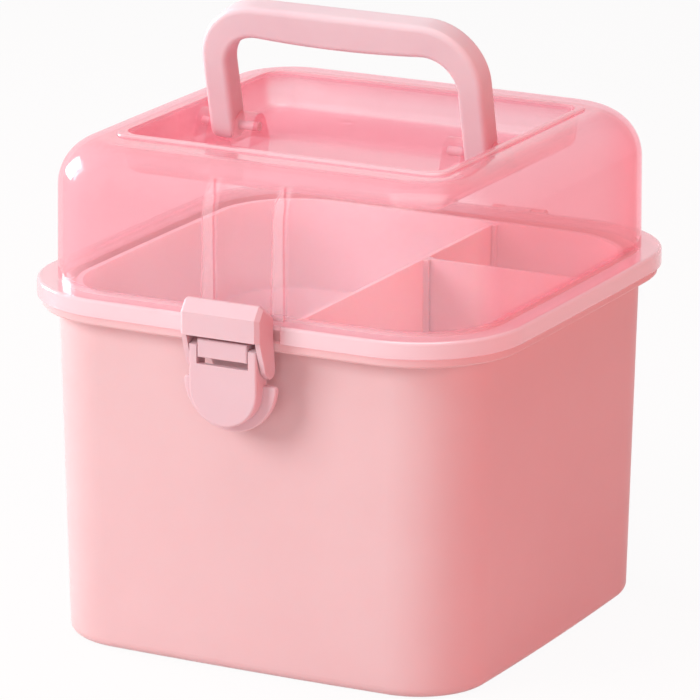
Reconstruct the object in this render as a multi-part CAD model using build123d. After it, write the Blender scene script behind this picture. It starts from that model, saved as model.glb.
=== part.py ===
from build123d import *
import os

# A square storage case with a see-through lid, a fold-down handle, a draw latch and a lift-out tray.
# Millimetres, +Z up, front towards -Y, origin at the centre of the flat base.

# ---- overall sizes
flange_half = 100.0         # centre to the middle of a side of the lid's flange, the widest part
case_height = 138.3         # base to the top of the mouth lip
dome_height = 53.8          # lid's flange to its flat top

# ---- case body: a square plan with gently bowed sides, a little wider at the band than at the base
wall_inset = 9.3            # case wall below the band, behind the flange's edge
side_taper = 2.3            # how much further in the wall stands at the base
side_bow = 2.0              # how far the middle of a side bulges past its corners
case_corner = 29.0          # plan corner radius
case_wall = 2.2
case_floor = 2.6
base_edge_round = 4.0
band_inset = 1.6            # the band round the mouth, behind the flange's edge
band_height = 3.6
band_chamfer = 0.8
lip_inset = 4.8             # the lip that rises from the band into the lid's flange
lip_wall = 2.2
support_rib_thick = 2.4     # upright ribs inside the case that carry the tray
support_bearing = 4.9       # how far they reach under the tray
support_rib_place = 42.0    # from the middle of a side

# ---- lid: a domed shell with a flange that caps the mouth
flange_overhang = 7.8       # flange edge past the foot of the dome
lid_bow = 1.2
lid_corner = 35.0
lid_wall = 1.8
lid_draft = 0.6             # degrees
shoulder_round = 18.4
flange_edge_round = 1.3
skirt_drop = 6.5            # flange top to skirt bottom
skirt_thick = 2.4
lid_seat_gap = 0.3          # lid to case, all round the mouth

# ---- front ribs and the notch that clears the latch
latch_offset = 2.4          # latch, ribs and notch stand this far to the right of the middle
front_rib_place = 14.6      # each rib from the latch's middle
front_rib_width = 5.5
front_rib_narrow = 4.4      # width where the point starts
front_rib_point = 6.0       # length of the pointed end
front_rib_proud = 1.3
front_rib_below_top = 4.7
notch_half = 19.6
notch_setback = 1.2         # how far the flange edge is set back behind the latch

# ---- recess in the lid's top, with a raised bead round it
recess_margin_x = 25.2      # foot of the dome to the recess's edge
recess_margin_y = 31.2
recess_corner = 8.0
recess_depth = 12.9
recess_draft = 6.0          # degrees
recess_floor_round = 3.5
bead_width = 2.6
bead_height = 1.0
bead_round = 0.9
bead_corner = 6.5
gate_mark_radius = 2.2
gate_mark_height = 0.4
gate_mark_place = (-26.0, 45.0)

# ---- handle: legs on pivots in the recess, a grip with a belly
handle_rise = 52.6          # pivot to the top of the grip
handle_tilt = 13.0          # degrees, how far the standing handle leans to the front
handle_depth = 11.0         # front to back
leg_thick = 10.8
grip_thick = 11.8
grip_belly = 2.6            # extra thickness in the middle of the grip
handle_corner = 24.0
handle_edge_round = 2.4
pivot_rise = 6.3            # pivot above the recess floor
pivot_pin_radius = 1.8
lug_inner_width = 8.0
lug_outer_width = 5.0
lug_side_gap = 0.3
lug_wall_gap = 2.1          # outer lug to the recess's edge
lug_foot_spread = 3.6       # how much wider a lug is at the floor, each side
lug_top_radius = 5.4

# ---- lid hinge at the back
hinge_reach = 7.0           # axis behind the band's outer face
hinge_drop = 3.8            # axis below the flange's top
hinge_radius = 3.2
hinge_pin_radius = 1.2
hinge_place = 20.0          # centre of each hinge from the middle
hinge_lid_width = 12.0
hinge_case_width = 5.0
hinge_side_gap = 0.3
hinge_skirt_gap = 0.4       # knuckle arm to the lid's skirt
hinge_arm_root = 2.0        # how deep the arm starts in the band
hinge_arm_inset = 0.8       # the lid's arm inside the skirt's height

# ---- draw latch at the front, measured from the flange's edge and from its top
latch_thick = 2.2
latch_pin_radius = 1.0
latch_side_gap = 0.35
lever_axis_out = 3.2
lever_axis_drop = 9.5
lever_out = 8.5             # lever's front face
lever_depth = 8.3
lever_half = 14.0
lever_length = 29.1         # lever axis to the lever's lower end
lever_ear_radius = 2.4
lever_ear_shoulder = 1.0    # the ear's front edge ends this far above the axis
lever_slot_drop = 6.1       # lever axis to the top edge of the front plate
lever_edge_round = 0.9
wing_out = 3.0              # front face of the finger wings
wing_half = 19.3
wing_thick = 2.2
wing_drop = 12.9            # lever axis to the top of the wings
wing_corner_round = 1.5
wing_edge_round = 0.8
tongue_half = 10.4
tongue_rise = 3.6           # half the tongue's height
tongue_out = 8.7
tongue_edge_round = 0.7
bracket_gusset = 2.0        # gusset's width in front of the band
bracket_plate_thick = 2.0
bracket_plate_drop = 13.9   # lever axis to the lower edge of the plate
bracket_seat_gap = 0.05     # bracket to case
hook_axis_drop = 5.9        # hook pivot below the lever pivot
hook_out = 11.5             # hook's front face
hook_back_in = 0.5          # hook's back face, behind the flange's edge
hook_half = 16.4
hook_bar_drop = 4.3         # flange top to the lower edge of the front bar
hook_bar_thick = 2.5
hook_shoulder_rise = 4.4    # flange top to the foot of the front bevel
hook_rise = 9.0             # flange top to the hook's crest
hook_bevel_depth = 3.6
hook_crest = 1.3
hook_eave_rise = 4.3        # flange top to the foot of the rear slope
hook_roof_thick = 3.2
hook_side_bevel = 1.5
hook_lip_half = 13.0
hook_lip_reach = 4.0
hook_lip_thick = 2.8
hook_seat_gap = 0.3
hook_pivot_radius = 2.6
hook_heel_radius = 3.1
hook_heel_back = 2.2        # heel behind the hook's pivot
hook_heel_drop = 1.3        # heel below the hook's pivot

# ---- lift-out tray with two dividers
tray_inset = 13.8           # tray's top edge behind the flange's edge
tray_taper = 1.5
tray_corner = 34.0
tray_height = 38.0
tray_top_drop = 0.3         # mouth lip's top to the tray's top
tray_wall = 1.6
tray_edge_round = 2.5
tray_lip_reach = 0.7
tray_lip_height = 2.0
tray_seat_gap = 0.3
divider_thick = 1.6
divider_long_x = 18.0
divider_cross_y = 25.0
divider_top_drop = 0.8      # tray's top to the dividers' top
divider_gap = 0.3
guide_thick = 1.4
guide_reach = 2.2

running_gap = 0.06          # radial, pin in a turning bore
fixed_gap = 0.02            # radial, pin in the bore that holds it

# ---- places that follow from the sizes above
flange_under = case_height + lid_seat_gap
flange_top = flange_under + lid_wall
skirt_bottom = flange_top - skirt_drop
band_top = skirt_bottom - lid_seat_gap
band_bottom = band_top - band_height
band_half = flange_half - band_inset
wall_half = flange_half - wall_inset
lid_half = flange_half - flange_overhang
lid_top = flange_top + dome_height
flange_corner = lid_corner + flange_overhang
recess_half_x = lid_half - recess_margin_x
recess_half_y = lid_half - recess_margin_y
recess_floor = lid_top - recess_depth
pivot_z = recess_floor + pivot_rise
handle_half = recess_half_x - lug_wall_gap - lug_outer_width - lug_side_gap
handle_top = pivot_z + handle_rise
lug_inner_end = handle_half - leg_thick - lug_side_gap
hinge_y = band_half + hinge_reach
hinge_z = flange_top - hinge_drop
latch_y = -flange_half - lever_axis_out
lever_axis_z = flange_top - lever_axis_drop
hook_axis_z = lever_axis_z - hook_axis_drop
wing_top = lever_axis_z - wing_drop
slot_half = tongue_half + latch_side_gap
tray_half_top = flange_half - tray_inset
tray_half_base = tray_half_top - tray_taper
tray_top = case_height - tray_top_drop
tray_base = tray_top - tray_height
tray_floor = tray_base + tray_wall
divider_top = tray_top - divider_top_drop


def bowed_square(half, bow, corner, z=0.0):
    """Square plan face whose sides are shallow arcs and whose corners are round."""
    reach = half - bow
    corners = [(reach, -reach), (reach, reach), (-reach, reach), (-reach, -reach)]
    middles = [(half, 0), (0, half), (-half, 0), (0, -half)]
    sides = [ThreePointArc(corners[i], middles[i], corners[(i + 1) % 4]) for i in range(4)]
    plan = make_face(sides)
    return Pos(0, 0, z) * fillet(plan.vertices(), corner)


def case_half(z):
    """Centre to the middle of a side of the case's outside at height z."""
    return wall_half - side_taper * (1 - z / band_bottom)


def case_plan(z, inset=0.0):
    """Plan of the case body at height z, drawn in by inset."""
    return bowed_square(case_half(z) - inset, side_bow, case_corner - inset, z)


def flange_plan(z, inset=0.0):
    """Plan of the lid's flange, drawn in by inset."""
    return bowed_square(flange_half - inset, lid_bow, flange_corner - inset, z)


def lowest(solid):
    return solid.faces().sort_by(Axis.Z)[0]


def highest(solid):
    return solid.faces().sort_by(Axis.Z)[-1]


def foremost(solid):
    return solid.faces().sort_by(Axis.Y)[0]


def rect(u_from, u_to, v_from, v_to):
    """Flat rectangle given by its two edges each way."""
    middle = Pos((u_from + u_to) / 2, (v_from + v_to) / 2)
    return middle * Rectangle(u_to - u_from, v_to - v_from)


def disc(u, v, radius):
    """Flat disc about a point."""
    return Pos(u, v) * Circle(radius)


def across(profile, x_from, x_to):
    """Extrude a face drawn in the YZ plane from x_from to x_to."""
    return Pos(x_from, 0, 0) * extrude(Plane.YZ * profile, x_to - x_from)


def block(x_from, x_to, y_from, y_to, z_from, z_to):
    """Box given by its two faces each way."""
    return across(rect(y_from, y_to, z_from, z_to), x_from, x_to)


def pin_along_x(radius, x_from, x_to, y, z):
    """Round bar along X."""
    return across(disc(y, z, radius), x_from, x_to)


def round_ended(y, z, radius, foot):
    """YZ face: a round end about (y, z) that runs out to the line between the foot's points."""
    return make_hull(disc(y, z, radius).edges() + Polyline(*foot).edges())


def dome_solid(inset):
    """Solid dome of the lid, drawn in by inset on every side."""
    plan = bowed_square(lid_half - inset, lid_bow, lid_corner - inset, flange_under)
    dome = extrude(plan, lid_top - inset - flange_under, taper=lid_draft)
    return fillet(highest(dome).edges(), shoulder_round - inset)


def recess_solid(outset, floor_z, floor_round):
    """Tub shape of the recess, grown by outset, with a rounded floor edge."""
    size_x = 2 * (recess_half_x + outset)
    size_y = 2 * (recess_half_y + outset)
    plan = Pos(0, 0, lid_top) * RectangleRounded(size_x, size_y, recess_corner + outset)
    tub = extrude(plan, floor_z - lid_top, taper=recess_draft)
    return fillet(lowest(tub).edges(), floor_round) + extrude(plan, 2 * bead_height)


def make_case_shell():
    outer = loft([case_plan(0), case_plan(band_top)], ruled=True)
    outer = fillet(lowest(outer).edges(), base_edge_round)
    inner = loft([case_plan(case_floor, case_wall), case_plan(band_top, case_wall)], ruled=True)
    inner = fillet(lowest(inner).edges(), base_edge_round - case_wall)
    band = extrude(flange_plan(band_bottom, band_inset), band_height)
    band = chamfer(lowest(band).edges(), band_chamfer)
    lip = extrude(flange_plan(band_bottom, lip_inset), case_height - band_bottom)
    mouth = extrude(flange_plan(band_top, lip_inset + lip_wall), case_height - band_top)
    shell = outer + band + lip - inner - mouth
    return shell + support_ribs() + case_knuckles()


def support_ribs():
    """Eight upright ribs, two on each wall, that the tray stands on."""
    rib_top = tray_base - tray_seat_gap
    core = tray_half_base - support_bearing
    half = support_rib_thick / 2
    plan = Sketch()
    for place in (-support_rib_place, support_rib_place):
        plan += rect(-flange_half, flange_half, place - half, place + half)
        plan += rect(place - half, place + half, -flange_half, flange_half)
    plan -= rect(-core, core, -core, core)
    sections = [case_plan(z, case_wall / 2) for z in (case_floor / 2, rib_top)]
    return extrude(plan, rib_top) & loft(sections, ruled=True)


def case_knuckles():
    """Two pairs of knuckles on arms behind the band."""
    root = band_half - hinge_arm_root
    foot = ((root, band_bottom), (root, band_top), (band_half, band_top))
    arm = round_ended(hinge_y, hinge_z, hinge_radius, foot)
    arm -= rect(root, flange_half + hinge_skirt_gap, band_top, flange_top)
    arm -= disc(hinge_y, hinge_z, hinge_pin_radius + fixed_gap)
    near = hinge_lid_width / 2 + hinge_side_gap
    knuckles = Part()
    for centre in (-hinge_place, hinge_place):
        for start in (centre - near - hinge_case_width, centre + near):
            knuckles += across(arm, start, start + hinge_case_width)
    return knuckles


def make_lid_shell():
    dome = dome_solid(0)
    shell = dome + lid_flange() + front_ribs() + recess_bead() - dome_solid(lid_wall)
    shell += recess_solid(lid_wall, recess_floor - lid_wall, recess_floor_round + lid_wall) & dome
    shell -= recess_solid(0, recess_floor, recess_floor_round)
    mark = extrude(disc(*gate_mark_place, gate_mark_radius), gate_mark_height)
    return shell + handle_lugs() + Pos(0, 0, recess_floor) * mark + lid_knuckles()


def lid_flange():
    """Flange and skirt round the foot of the dome, set back behind the latch."""
    flange = extrude(flange_plan(flange_top), -skirt_drop)
    flange = fillet(highest(flange).edges(), flange_edge_round)
    flange -= extrude(flange_plan(flange_under, skirt_thick), -skirt_drop)
    left = latch_offset - notch_half
    right = latch_offset + notch_half
    front = -flange_half
    flange -= block(left, right, front, front + notch_setback, skirt_bottom, flange_top)
    return flange - block(left, right, front, front + 2 * skirt_thick, skirt_bottom, flange_under)


def front_ribs():
    """Two upright ribs on the front wall that fade into the shoulder."""
    tip = lid_top - front_rib_below_top
    wide = front_rib_width / 2
    narrow = front_rib_narrow / 2
    shoulder = tip - front_rib_point
    right_side = ((wide, flange_under), (narrow, shoulder), (0, tip))
    left_side = ((-narrow, shoulder), (-wide, flange_under))
    outline = make_face(Polyline(*right_side, *left_side, close=True))
    swollen = dome_solid(-front_rib_proud)
    ribs = Part()
    for place in (latch_offset - front_rib_place, latch_offset + front_rib_place):
        ribs += extrude(Plane.XZ * Pos(place, 0) * outline, flange_half) & swollen
    return ribs


def recess_bead():
    """Raised bead round the mouth of the recess."""
    size_x = 2 * (recess_half_x + bead_width)
    size_y = 2 * (recess_half_y + bead_width)
    plan = Pos(0, 0, lid_top - bead_height) * RectangleRounded(size_x, size_y, bead_corner)
    bead = extrude(plan, 2 * bead_height)
    return fillet(highest(bead).edges(), bead_round)


def handle_lugs():
    """Lugs that rise from the recess floor, one on each side of each leg, and carry the pins."""
    foot_y = lug_top_radius + lug_foot_spread
    foot_z = recess_floor - lid_wall / 2
    profile = round_ended(0, pivot_z, lug_top_radius, ((-foot_y, foot_z), (foot_y, foot_z)))
    profile -= disc(0, pivot_z, pivot_pin_radius + fixed_gap)
    outer_start = handle_half + lug_side_gap
    lugs = across(profile, lug_inner_end - lug_inner_width, lug_inner_end)
    lugs += across(profile, outer_start, outer_start + lug_outer_width)
    return lugs + mirror(lugs, Plane.YZ)


def lid_knuckles():
    """One knuckle on each hinge, on an arm from the skirt."""
    root = flange_half - skirt_thick / 2
    foot = ((root, skirt_bottom + hinge_arm_inset), (root, flange_top - hinge_arm_inset))
    arm = round_ended(hinge_y, hinge_z, hinge_radius, foot)
    arm -= disc(hinge_y, hinge_z, hinge_pin_radius + running_gap)
    half = hinge_lid_width / 2
    right = across(arm, hinge_place - half, hinge_place + half)
    return right + mirror(right, Plane.YZ)


def make_handle():
    """Grip and two legs as one moulding, rounded at the pivots, leaning to the front."""
    foot_z = pivot_z - handle_depth / 2
    grip_under = handle_top - grip_thick
    inner_half = handle_half - leg_thick
    hoop = rect(-handle_half, handle_half, foot_z, handle_top)
    hoop = fillet(hoop.vertices().group_by(Axis.Y)[-1], handle_corner)
    under_side = ThreePointArc(
        (inner_half, grip_under), (0, grip_under - grip_belly), (-inner_half, grip_under)
    )
    legs = Polyline(
        (-inner_half, grip_under), (-inner_half, foot_z), (inner_half, foot_z), (inner_half, grip_under)
    )
    opening = make_face(legs.edges() + under_side.edges())
    opening = fillet(opening.vertices().group_by(Axis.Y)[-1], handle_corner - leg_thick)
    frame = extrude(Plane.XZ * (hoop - opening), handle_depth / 2, both=True)
    side = rect(-handle_depth / 2, handle_depth / 2, pivot_z, handle_top)
    side += disc(0, pivot_z, handle_depth / 2)
    frame &= across(side, -handle_half, handle_half)
    frame = fillet(frame.faces().filter_by(Axis.Y).edges(), handle_edge_round)
    frame -= pin_along_x(pivot_pin_radius + running_gap, -handle_half, handle_half, 0, pivot_z)
    return Pos(0, 0, pivot_z) * Rot(handle_tilt, 0, 0) * Pos(0, 0, -pivot_z) * frame


def make_handle_pin(side):
    """Pin through the two lugs and the leg on one side."""
    inner = lug_inner_end - lug_inner_width
    outer = handle_half + lug_side_gap + lug_outer_width
    pin = pin_along_x(pivot_pin_radius, inner, outer, 0, pivot_z)
    return pin if side > 0 else mirror(pin, Plane.YZ)


def make_lid_hinge_pin(side):
    """Pin through one hinge's three knuckles."""
    half = hinge_lid_width / 2 + hinge_side_gap + hinge_case_width
    centre = side * hinge_place
    return pin_along_x(hinge_pin_radius, centre - half, centre + half, hinge_y, hinge_z)


def beside(piece):
    """Move a piece of the latch from the middle to its place."""
    return Pos(latch_offset, 0, 0) * piece


def make_latch_bracket():
    """Tongue between the lever's ears, on a gusset and a plate against the case's wall."""
    front = -flange_half - tongue_out
    low = lever_axis_z - tongue_rise
    high = lever_axis_z + tongue_rise
    band_face = -band_half - bracket_seat_gap
    under_band = band_bottom - bracket_seat_gap
    plate_low = lever_axis_z - bracket_plate_drop
    plate_face = -case_half(plate_low) - bracket_plate_thick
    wall = -wall_half + case_wall
    profile = make_face(
        Polyline(
            (front, low),
            (band_face - bracket_gusset, low),
            (plate_face, plate_low),
            (wall, plate_low),
            (wall, under_band),
            (band_face, under_band),
            (band_face, high),
            (front, high),
            close=True,
        )
    )
    profile -= disc(latch_y, lever_axis_z, latch_pin_radius + fixed_gap)
    bracket = across(profile, -tongue_half, tongue_half)
    bracket = beside(fillet(foremost(bracket).edges(), tongue_edge_round))
    sections = [case_plan(z, -bracket_seat_gap) for z in (0, band_bottom)]
    return bracket - loft(sections, ruled=True)


def make_latch_lever():
    """Shield-shaped lever with two ears at the top and finger wings round the bottom."""
    front = -flange_half - lever_out
    back = front + lever_depth
    bottom = lever_axis_z - lever_length
    ear_top = lever_axis_z + lever_ear_radius
    face_plane = Plane.XZ.offset(-front)
    shield = rect(-lever_half, lever_half, bottom + lever_half, ear_top)
    shield += disc(0, bottom + lever_half, lever_half)
    body = extrude(face_plane * shield, -lever_depth)
    body = fillet(foremost(body).edges(), lever_edge_round)
    foot = ((front, lever_axis_z + lever_ear_shoulder), (front, bottom), (back, bottom), (back, hook_axis_z))
    side = round_ended(latch_y, lever_axis_z, lever_ear_radius, foot)
    body &= across(side, -lever_half, lever_half)
    hollow_half = lever_half - latch_thick
    body -= block(-hollow_half, hollow_half, front + latch_thick, back, wing_top, ear_top)
    body -= block(-slot_half, slot_half, front, back, lever_axis_z - lever_slot_drop, ear_top)
    body += lever_wings()
    body -= pin_along_x(latch_pin_radius + running_gap, -lever_half, lever_half, latch_y, lever_axis_z)
    body -= pin_along_x(latch_pin_radius + fixed_gap, -lever_half, lever_half, latch_y, hook_axis_z)
    return beside(body)


def lever_wings():
    """Half-round finger rest behind the lower part of the lever."""
    half_disc = disc(0, wing_top, wing_half) - rect(-wing_half, wing_half, wing_top, wing_top + wing_half)
    half_disc = fillet(half_disc.vertices(), wing_corner_round)
    wings = extrude(Plane.XZ.offset(flange_half + wing_out) * half_disc, -wing_thick)
    return fillet(foremost(wings).edges(), wing_edge_round)


def make_latch_hook():
    """Bail with a front bar, a roof with a crest, a lip over the flange and two tapering arms."""
    front = -flange_half - hook_out
    back = -flange_half + hook_back_in
    bar_bottom = flange_top - hook_bar_drop
    crest = front + hook_bevel_depth
    lip_bottom = flange_top + hook_seat_gap
    outline = make_face(
        Polyline(
            (front, bar_bottom),
            (front, flange_top + hook_shoulder_rise),
            (crest, flange_top + hook_rise),
            (crest + hook_crest, flange_top + hook_rise),
            (back, flange_top + hook_eave_rise),
            (back, bar_bottom),
            close=True,
        )
    )
    hook = across(outline, -hook_half, hook_half)
    rims = hook.faces().filter_by(Axis.X).edges()
    rims = rims.filter_by(lambda rim: rim.center().Y < back and rim.center().Z > bar_bottom)
    hook = chamfer(rims, hook_side_bevel)
    arm_inner = lever_half + latch_side_gap
    bar_back = front + hook_bar_thick
    wall_face = back - latch_thick
    room = Pos(0, -hook_roof_thick) * outline & rect(bar_back, wall_face, bar_bottom, flange_top + hook_rise)
    room += rect(bar_back, back, bar_bottom, lip_bottom)
    hook -= across(room, -arm_inner, arm_inner)
    lip_tip = back + hook_lip_reach
    lip_top = lip_bottom + hook_lip_thick
    hook += block(-hook_lip_half, hook_lip_half, wall_face, lip_tip, lip_bottom, lip_top)
    arm = make_hull(
        disc(latch_y, hook_axis_z, hook_pivot_radius).edges()
        + disc(latch_y + hook_heel_back, hook_axis_z - hook_heel_drop, hook_heel_radius).edges()
        + Line((front + hook_side_bevel, bar_bottom), (back, bar_bottom)).edges()
    )
    right_arm = across(arm, arm_inner, hook_half)
    hook += right_arm + mirror(right_arm, Plane.YZ)
    hook -= pin_along_x(latch_pin_radius + running_gap, -hook_half, hook_half, latch_y, hook_axis_z)
    return beside(hook)


def make_latch_lever_pin():
    return beside(pin_along_x(latch_pin_radius, -lever_half, lever_half, latch_y, lever_axis_z))


def make_latch_hook_pin(side):
    """Short pin that joins an arm of the hook to the lever's side."""
    pin = pin_along_x(latch_pin_radius, lever_half - latch_thick, hook_half, latch_y, hook_axis_z)
    return beside(pin if side > 0 else mirror(pin, Plane.YZ))


def tray_half(z):
    """Centre to the middle of a side of the tray's outside at height z."""
    return tray_half_top - tray_taper * (tray_top - z) / tray_height


def tray_plan(z, inset=0.0):
    """Plan of the tray at height z, drawn in by inset."""
    half = tray_half(z)
    return bowed_square(half - inset, lid_bow, tray_corner - tray_half_top + half - inset, z)


def make_tray():
    outer = loft([tray_plan(tray_base), tray_plan(tray_top)], ruled=True)
    outer = fillet(lowest(outer).edges(), tray_edge_round)
    inner = loft([tray_plan(tray_floor, tray_wall), tray_plan(tray_top, tray_wall)], ruled=True)
    inner = fillet(lowest(inner).edges(), tray_edge_round - tray_wall)
    lip = extrude(tray_plan(tray_top, -tray_lip_reach), -tray_lip_height)
    shift = divider_thick / 2 + divider_gap + guide_thick / 2
    guides = Part()
    for step in (-shift, shift):
        guides += guide_rib(divider_long_x + step, 1) + guide_rib(divider_long_x + step, -1)
        guides += Rot(0, 0, -90) * guide_rib(-divider_cross_y + step, 1)
    return outer + lip - inner + (guides & outer)


def guide_rib(x, side):
    """Upright rib at x on the tray's front wall (side -1) or back wall (side 1)."""
    low = tray_floor - tray_wall / 2
    corners = []
    for z in (low, divider_top):
        face = side * (tray_half(z) - tray_wall - guide_reach)
        root = side * (tray_half(z) - tray_wall / 2)
        corners += [(face, z), (root, z)] if z == low else [(root, z), (face, z)]
    return across(make_face(Polyline(*corners, close=True)), x - guide_thick / 2, x + guide_thick / 2)


def divider_reach(z):
    """Centre to a divider's end on a tray wall at height z."""
    return tray_half(z) - tray_wall - divider_gap


def divider_profile(left_low, left_high):
    """Upright plate outline from the given left edge to the tray's wall, with clipped lower corners."""
    clip = tray_edge_round - tray_wall + 2 * divider_gap
    right_low = divider_reach(tray_floor)
    return make_face(
        Polyline(
            (left_low, tray_floor + clip),
            (left_low + clip, tray_floor),
            (right_low - clip, tray_floor),
            (right_low, tray_floor + clip),
            (divider_reach(divider_top), divider_top),
            (left_high, divider_top),
            close=True,
        )
    )


def make_tray_divider_long():
    """Front-to-back divider, with its own pair of guides for the cross divider."""
    half = divider_thick / 2
    profile = divider_profile(-divider_reach(tray_floor), -divider_reach(divider_top))
    plate = across(profile, divider_long_x - half, divider_long_x + half)
    face = divider_long_x + half
    for start in (-half - divider_gap - guide_thick, half + divider_gap):
        near = divider_cross_y + start
        plate += block(face, face + guide_reach, near, near + guide_thick, tray_floor, divider_top)
    return plate


def make_tray_divider_cross():
    """Divider from the long divider to the right wall."""
    left = divider_long_x + divider_thick / 2 + divider_gap
    plate = extrude(Plane.XZ * divider_profile(left, left), divider_thick / 2, both=True)
    return Pos(0, divider_cross_y, 0) * plate


pieces = {
    "case_shell": make_case_shell(),
    "lid_shell": make_lid_shell(),
    "lid_hinge_pin_left": make_lid_hinge_pin(-1),
    "lid_hinge_pin_right": make_lid_hinge_pin(1),
    "handle": make_handle(),
    "handle_pin_left": make_handle_pin(-1),
    "handle_pin_right": make_handle_pin(1),
    "latch_bracket": make_latch_bracket(),
    "latch_lever": make_latch_lever(),
    "latch_lever_pin": make_latch_lever_pin(),
    "latch_hook": make_latch_hook(),
    "latch_hook_pin_left": make_latch_hook_pin(-1),
    "latch_hook_pin_right": make_latch_hook_pin(1),
    "tray": make_tray(),
    "tray_divider_long": make_tray_divider_long(),
    "tray_divider_cross": make_tray_divider_cross(),
}

os.makedirs("parts", exist_ok=True)
for name, piece in pieces.items():
    export_step(piece, f"parts/{name}.step")
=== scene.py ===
import math

import bpy
from mathutils import Matrix, Vector


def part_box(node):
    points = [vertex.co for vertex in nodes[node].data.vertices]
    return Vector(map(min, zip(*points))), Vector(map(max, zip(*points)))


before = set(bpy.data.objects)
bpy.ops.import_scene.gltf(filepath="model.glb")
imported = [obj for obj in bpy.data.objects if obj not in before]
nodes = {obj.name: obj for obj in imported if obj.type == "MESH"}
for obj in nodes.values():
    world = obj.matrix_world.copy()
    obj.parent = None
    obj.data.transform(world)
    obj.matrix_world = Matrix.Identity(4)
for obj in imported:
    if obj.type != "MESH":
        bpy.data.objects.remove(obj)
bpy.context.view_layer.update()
MM = 0.001

# ---------------------------------------------------------------- camera
# The photograph is taken from the front, turned to the case's right, and from a little above, with a long lens.
PHOTO_SIDE = 700                    # pixels
CAMERA_AZIMUTH = math.radians(27.35)
CAMERA_ELEVATION = math.radians(15.25)
CAMERA_ROLL = math.radians(0.2)
CAMERA_DISTANCE = 2090 * MM
CAMERA_PIVOT = Vector((0, 0, 120 * MM))
FOCAL_PIXELS = 5453.9
PIVOT_PIXEL = (352.7, 310.2)        # where the pivot stands in the photograph
SENSOR = 36.0                       # Blender's own unit for lenses, mm
SEEN_FROM, SEEN_TO = 0.05, 50       # metres in front of the lens


def make_camera():
    back = Vector((
        math.sin(CAMERA_AZIMUTH) * math.cos(CAMERA_ELEVATION),
        -math.cos(CAMERA_AZIMUTH) * math.cos(CAMERA_ELEVATION),
        math.sin(CAMERA_ELEVATION),
    ))
    data = bpy.data.cameras.new("camera")
    data.sensor_width = SENSOR
    data.lens = SENSOR * FOCAL_PIXELS / PHOTO_SIDE
    data.clip_start, data.clip_end = SEEN_FROM, SEEN_TO
    camera = bpy.data.objects.new("camera", data)
    bpy.context.scene.collection.objects.link(camera)
    turn = (-back).to_track_quat("-Z", "Y").to_matrix() @ Matrix.Rotation(CAMERA_ROLL, 3, "Z")
    # the camera turns a little about itself, so that the pivot stands at its pixel with no shift
    aside = math.atan((PIVOT_PIXEL[0] - PHOTO_SIDE / 2) / FOCAL_PIXELS)
    above = math.atan((PHOTO_SIDE / 2 - PIVOT_PIXEL[1]) / FOCAL_PIXELS)
    turn = turn @ Matrix.Rotation(aside, 3, "Y") @ Matrix.Rotation(-above, 3, "X")
    camera.matrix_world = Matrix.Translation(CAMERA_PIVOT + back * CAMERA_DISTANCE) @ turn.to_4x4()
    bpy.context.scene.camera = camera


# ---------------------------------------------------------------- nodes and colours
def add(tree, kind, settings=None, links=None):
    """One node, with its properties and sockets set, and its inputs linked."""
    node = tree.nodes.new(kind)
    for key, value in (settings or {}).items():
        if isinstance(key, str) and hasattr(node, key):
            setattr(node, key, value)
        else:
            node.inputs[key].default_value = value
    for key, socket in (links or {}).items():
        tree.links.new(socket, node.inputs[key])
    return node


def colour(code):
    """An sRGB hex colour as linear RGBA."""
    parts = [int(code[i:i + 2], 16) / 255 for i in (0, 2, 4)]
    return tuple(c / 12.92 if c <= 0.04045 else ((c + 0.055) / 1.055) ** 2.4 for c in parts) + (1,)


def new_material(name):
    material = bpy.data.materials.new(name)
    material.use_nodes = True
    tree = material.node_tree
    tree.nodes.clear()
    return material, tree


# ---------------------------------------------------------------- light
ROOM_LIGHT = 0.14                   # strength of the room round the object
FLOOR_SIZE = 8                      # metres
FLOOR_DROP = 0.2 * MM               # the floor lies this far under the case, so that the two faces don't fight
FLOOR_WHITE = 0.94                  # share of plain white in what the eye sees of the floor; the rest takes shadow
CASE_MIDDLE = (0, 0, 0.12)

# name, place, what it is aimed at, side in metres, watts, tint, whether it shows in gloss
LAMPS = (
    ("key_left", (-0.8, -1.1, 0.8), (-0.03, -0.05, 0.13), 0.7, 14.3, "FFFFFF", False),
    ("fill_front", (0.65, -1.55, 0.6), CASE_MIDDLE, 1.2, 6, "FFFFFF", False),
    ("edge_left", (-1.3, 0.15, 0.5), (-0.08, 0, 0.15), 0.5, 12, "FFFFFF", True),    # the spot on the lid's shoulder
    ("top", (0.1, -0.25, 1.6), CASE_MIDDLE, 1.2, 10.2, "FFFFFF", True),
    ("warm_right", (1.35, -0.05, 0.5), CASE_MIDDLE, 1.0, 8, "FF5A56", False),       # deepens the right side's pink
)


def make_lamps():
    for name, place, aim, side, watts, tint, shines in LAMPS:
        data = bpy.data.lights.new(name, "AREA")
        data.shape = "SQUARE"
        data.size = side
        data.energy = watts
        data.color = colour(tint)[:3]
        lamp = bpy.data.objects.new(name, data)
        bpy.context.scene.collection.objects.link(lamp)
        lamp.location = place
        lamp.visible_glossy = shines
        lamp.rotation_mode = "QUATERNION"
        lamp.rotation_quaternion = (Vector(aim) - Vector(place)).to_track_quat("-Z", "Y")


def seen_straight(tree):
    """1 for a ray from the eye, off gloss or through glass, which see the white studio, else 0."""
    ray = add(tree, "ShaderNodeLightPath").outputs
    eye_or_gloss = add(tree, "ShaderNodeMath", {"operation": "MAXIMUM"},
                       {0: ray["Is Camera Ray"], 1: ray["Is Glossy Ray"]})
    return add(tree, "ShaderNodeMath", {"operation": "MAXIMUM"},
               {0: eye_or_gloss.outputs[0], 1: ray["Is Transmission Ray"]}).outputs[0]


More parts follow.
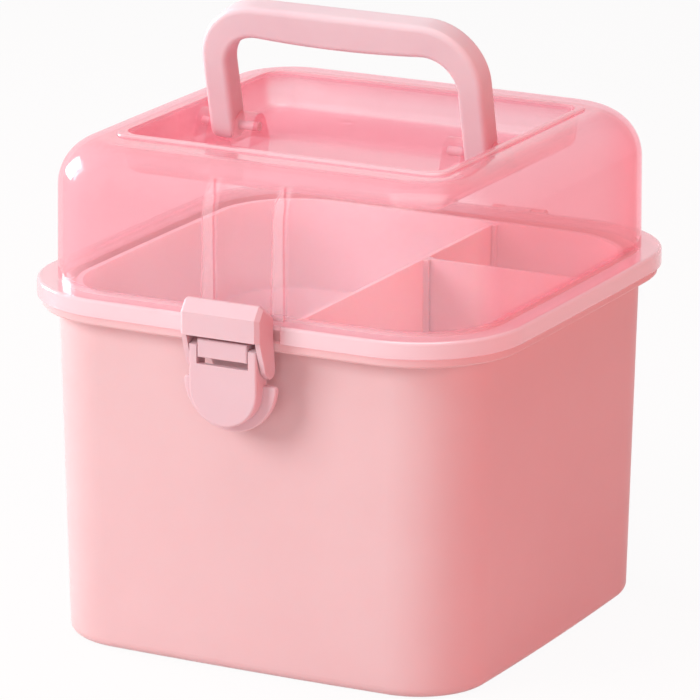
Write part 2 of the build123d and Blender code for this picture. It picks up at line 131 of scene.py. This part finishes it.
def set_world():
    """A faint pink room, which looks white to the eye."""
    world = bpy.data.worlds.new("studio")
    world.use_nodes = True
    tree = world.node_tree
    tree.nodes.clear()
    room = add(tree, "ShaderNodeBackground", {"Color": colour("FFD4D4"), "Strength": ROOM_LIGHT})
    white = add(tree, "ShaderNodeBackground", {"Color": colour("FFFFFF"), "Strength": 1})
    mix = add(tree, "ShaderNodeMixShader", {}, {0: seen_straight(tree), 1: room.outputs[0], 2: white.outputs[0]})
    add(tree, "ShaderNodeOutputWorld", {}, {"Surface": mix.outputs[0]})
    bpy.context.scene.world = world


def make_floor():
    """White studio paper, bright to the eye, which keeps a soft shadow and is clear from below."""
    bpy.ops.object.select_all(action="DESELECT")
    bpy.ops.mesh.primitive_plane_add(size=FLOOR_SIZE, location=(0, 0, -FLOOR_DROP))
    bpy.ops.object.transform_apply(location=True)
    floor = bpy.context.object
    floor.name = "floor"
    material, tree = new_material("white_studio_paper")
    paper = add(tree, "ShaderNodeBsdfDiffuse", {"Color": colour("E6D0D0")})
    glow = add(tree, "ShaderNodeEmission", {"Color": colour("FFFFFF"), "Strength": 1})
    share = add(tree, "ShaderNodeMath", {"operation": "MULTIPLY", 1: FLOOR_WHITE}, {0: seen_straight(tree)})
    sheet = add(tree, "ShaderNodeMixShader", {}, {0: share.outputs[0], 1: paper.outputs[0], 2: glow.outputs[0]})
    clear = add(tree, "ShaderNodeBsdfTransparent")
    side = add(tree, "ShaderNodeNewGeometry").outputs["Backfacing"]
    mix = add(tree, "ShaderNodeMixShader", {}, {0: side, 1: sheet.outputs[0], 2: clear.outputs[0]})
    add(tree, "ShaderNodeOutputMaterial", {}, {"Surface": mix.outputs[0]})
    floor.data.materials.append(material)


make_camera()
make_lamps()
set_world()
make_floor()

# ---------------------------------------------------------------- moulded polypropylene
PLASTIC_IOR = 1.49                  # polypropylene
CLOUD_SIZE = 30 * MM                # the pigment is mixed unevenly over a few centimetres
GRAIN_SIZE = 0.8 * MM               # the mould's grit is nearer 0.2 mm, which is too fine to show here
GRAIN_DEPTH = 0.02 * MM
GRAIN_STRENGTH = 0.3
GLOSS_BELOW, GLOSS_ABOVE = 0.04, 0.06   # the grain moves the roughness this far down and up
RED_SINKS_DEEPER = (1.0, 0.35, 0.3)     # how far red, green and blue light run inside, as shares


def moulded_plastic(name, base, deep, rough, glow_mm, glow):
    """Injection-moulded polypropylene: satin, a little cloudy in tone, with light that sinks in."""
    material, tree = new_material(name)
    place = add(tree, "ShaderNodeTexCoord").outputs["Object"]
    cloud = add(tree, "ShaderNodeTexNoise", {"Scale": 1 / CLOUD_SIZE, "Detail": 3.0}, {"Vector": place})
    tone = add(tree, "ShaderNodeMix", {"data_type": "RGBA", 6: colour(base), 7: colour(deep)},
               {0: cloud.outputs["Fac"]})
    grain = add(tree, "ShaderNodeTexNoise", {"Scale": 1 / GRAIN_SIZE, "Detail": 2.0},
                {"Vector": place}).outputs["Fac"]
    gloss = add(tree, "ShaderNodeMapRange", {"To Min": rough - GLOSS_BELOW, "To Max": rough + GLOSS_ABOVE},
                {"Value": grain})
    relief = add(tree, "ShaderNodeBump", {"Strength": GRAIN_STRENGTH, "Distance": GRAIN_DEPTH}, {"Height": grain})
    shader = add(tree, "ShaderNodeBsdfPrincipled", {
        "IOR": PLASTIC_IOR, "Subsurface Weight": glow, "Subsurface Radius": RED_SINKS_DEEPER,
        "Subsurface Scale": glow_mm * MM,
    }, {"Base Color": tone.outputs[2], "Roughness": gloss.outputs[0], "Normal": relief.outputs[0]})
    add(tree, "ShaderNodeOutputMaterial", {}, {"Surface": shader.outputs[0]})
    return material


# ---------------------------------------------------------------- clear lid
FLANGE_HEIGHT = 7.0 * MM            # lid_shell's lowest point to the top of its flange
FLANGE_FADE = 2.0 * MM              # the milky flange clears over this height
BEAD_HEIGHT = 1.4 * MM              # the bead round the recess, down from lid_shell's top
BEAD_FADE = 0.5 * MM
LATCH_OFFSET = 2.4 * MM             # latch and front ribs stand this far right of the middle
RIB_PLACE = 14.6 * MM               # front ribs from the latch's middle
RIB_HALF = 2.75 * MM
RIB_FROM, RIB_TO = 0.84, 0.86       # the ribs start between these shares of the way to the flange's front edge
LID_CLOUD_SIZE = 25 * MM
# share of haze in the wall, square on and at its edges, and in the thick places; on the bead the share is partly
# haze and partly a painted highlight
LID_HAZE = 0.1
LID_EDGE_HAZE = 0.6
LID_RIB_HAZE = 0.3
LID_FLANGE_HAZE = 0.72
LID_BEAD_HAZE_AND_HIGHLIGHT = 0.5
HAZE_KEPT = 0.1                     # share of the haze that stops light on its way inside
EDGE_BLEND = 0.35                   # how early the haze grows as the wall turns away
SLANT_FROM, SLANT_TO = 0.2, 0.8     # the film's tint deepens between these turns of the wall


def lid_regions(tree, place):
    """Masks of the wall above the flange, of the bead round the recess, which also carries a painted highlight, and
    of the two front ribs.
    """
    axes = add(tree, "ShaderNodeSeparateXYZ", {}, {0: place}).outputs
    lid_low, lid_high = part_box("lid_shell")
    flange_top, bead_foot, reach = lid_low[2] + FLANGE_HEIGHT, lid_high[2] - BEAD_HEIGHT, lid_high[0]
    wall, bead, front = (
        add(tree, "ShaderNodeMapRange", {"From Min": start, "From Max": end}, {"Value": axes[axis]}).outputs[0]
        for axis, start, end in (
            ("Z", flange_top, flange_top + FLANGE_FADE),
            ("Z", bead_foot, bead_foot + BEAD_FADE),
            ("Y", -RIB_FROM * reach, -RIB_TO * reach),
        )
    )
    from_latch = add(tree, "ShaderNodeMath", {"operation": "SUBTRACT", 1: LATCH_OFFSET}, {0: axes["X"]})
    aside = add(tree, "ShaderNodeMath", {"operation": "ABSOLUTE"}, {0: from_latch.outputs[0]})
    near_rib = add(tree, "ShaderNodeMath", {"operation": "COMPARE", 1: RIB_PLACE, 2: RIB_HALF},
                   {0: aside.outputs[0]})
    rib = add(tree, "ShaderNodeMath", {"operation": "MULTIPLY"}, {0: near_rib.outputs[0], 1: front}).outputs[0]
    return wall, bead, rib


def lid_haze_and_bead_highlight(tree, wall, bead, rib):
    """The share of the wall that is milky instead of clear; on the bead round the recess it is partly a painted
    highlight.
    """
    turned = add(tree, "ShaderNodeLayerWeight", {"Blend": EDGE_BLEND}).outputs["Facing"]
    haze = add(tree, "ShaderNodeMapRange", {"To Min": LID_HAZE, "To Max": LID_EDGE_HAZE},
               {"Value": turned}).outputs[0]
    # the bead is whitened partly as thick plastic and partly as a painted highlight along the lid's top
    for region, amount in ((rib, LID_RIB_HAZE), (bead, LID_BEAD_HAZE_AND_HIGHLIGHT)):
        haze = add(tree, "ShaderNodeMix", {3: amount}, {0: region, 2: haze}).outputs[0]
    haze = add(tree, "ShaderNodeMix", {2: LID_FLANGE_HAZE}, {0: wall, 3: haze}).outputs[0]
    # haze scatters most of the light onwards, so what stands inside is lit almost as if the wall were clear
    ray = add(tree, "ShaderNodeLightPath").outputs
    lighting = add(tree, "ShaderNodeMath", {"operation": "MAXIMUM"},
                   {0: ray["Is Shadow Ray"], 1: ray["Is Diffuse Ray"]})
    kept = add(tree, "ShaderNodeMapRange", {"To Min": 1.0, "To Max": HAZE_KEPT}, {"Value": lighting.outputs[0]})
    return add(tree, "ShaderNodeMath", {"operation": "MULTIPLY"}, {0: haze, 1: kept.outputs[0]}).outputs[0]


def clear_lid_plastic():
    """Clear pink polypropylene: a glossy see-through wall that tints more where it is seen aslant, with a faint
    haze that grows towards its edges, milky where it is thick, and a painted highlight on the bead round the
    recess."""
    material, tree = new_material("clear_pink_polypropylene")
    place = add(tree, "ShaderNodeTexCoord").outputs["Object"]
    wall, bead, rib = lid_regions(tree, place)
    cloud = add(tree, "ShaderNodeTexNoise", {"Scale": 1 / LID_CLOUD_SIZE, "Detail": 3.0}, {"Vector": place})
    milk = add(tree, "ShaderNodeMix", {"data_type": "RGBA", 6: colour("FBE2E8"), 7: colour("F9D5DD")},
               {0: cloud.outputs["Fac"]})
    tone = add(tree, "ShaderNodeMix", {"data_type": "RGBA", 6: colour("F1D8DE")}, {0: wall, 7: milk.outputs[2]})
    turned = add(tree, "ShaderNodeLayerWeight", {"Blend": 0.5}).outputs["Facing"]
    slant = add(tree, "ShaderNodeMapRange", {"From Min": SLANT_FROM, "From Max": SLANT_TO}, {"Value": turned})
    tint = add(tree, "ShaderNodeMix", {"data_type": "RGBA", 6: colour("FFF5F7"), 7: colour("FFC8D3")},
               {0: slant.outputs[0]})
    film = add(tree, "ShaderNodeBsdfTransparent", {}, {"Color": tint.outputs[2]})
    skin = add(tree, "ShaderNodeBsdfPrincipled", {
        "Roughness": 0.14, "IOR": 1.9, "Coat Weight": 1.0, "Coat Roughness": 0.07, "Coat IOR": 1.6,
    }, {"Base Color": tone.outputs[2]})
    mix = add(tree, "ShaderNodeMixShader", {},
              {0: lid_haze_and_bead_highlight(tree, wall, bead, rib), 1: film.outputs[0], 2: skin.outputs[0]})
    add(tree, "ShaderNodeOutputMaterial", {}, {"Surface": mix.outputs[0]})
    return material


# ---------------------------------------------------------------- finishes
case_pink = moulded_plastic("satin_pink_polypropylene", "E7C5C7", "E4BEC0", rough=0.42, glow_mm=5, glow=0.2)
handle_pink = moulded_plastic("pale_pink_handle_polypropylene", "E8D6DA", "DCBFC7", rough=0.4, glow_mm=3, glow=0.2)
latch_pink = moulded_plastic("pale_pink_latch_polypropylene", "E2C6CC", "DEBEC5", rough=0.36, glow_mm=3, glow=0.2)
# the tray's walls are thin, so more light comes through them
tray_pink = moulded_plastic("pink_tray_polypropylene", "F9EAEB", "F7E3E6", rough=0.4, glow_mm=6, glow=0.5)
lid_pink = clear_lid_plastic()

# the latch, its bracket and every pin take the latch's plastic
finish = {
    "case_shell": case_pink, "lid_shell": lid_pink, "handle": handle_pink,
    "tray": tray_pink, "tray_divider_long": tray_pink, "tray_divider_cross": tray_pink,
}
for name, node in nodes.items():
    for slot in node.material_slots:
        slot.material = finish.get(name, latch_pink)

bpy.context.scene.view_settings.view_transform = "Standard"
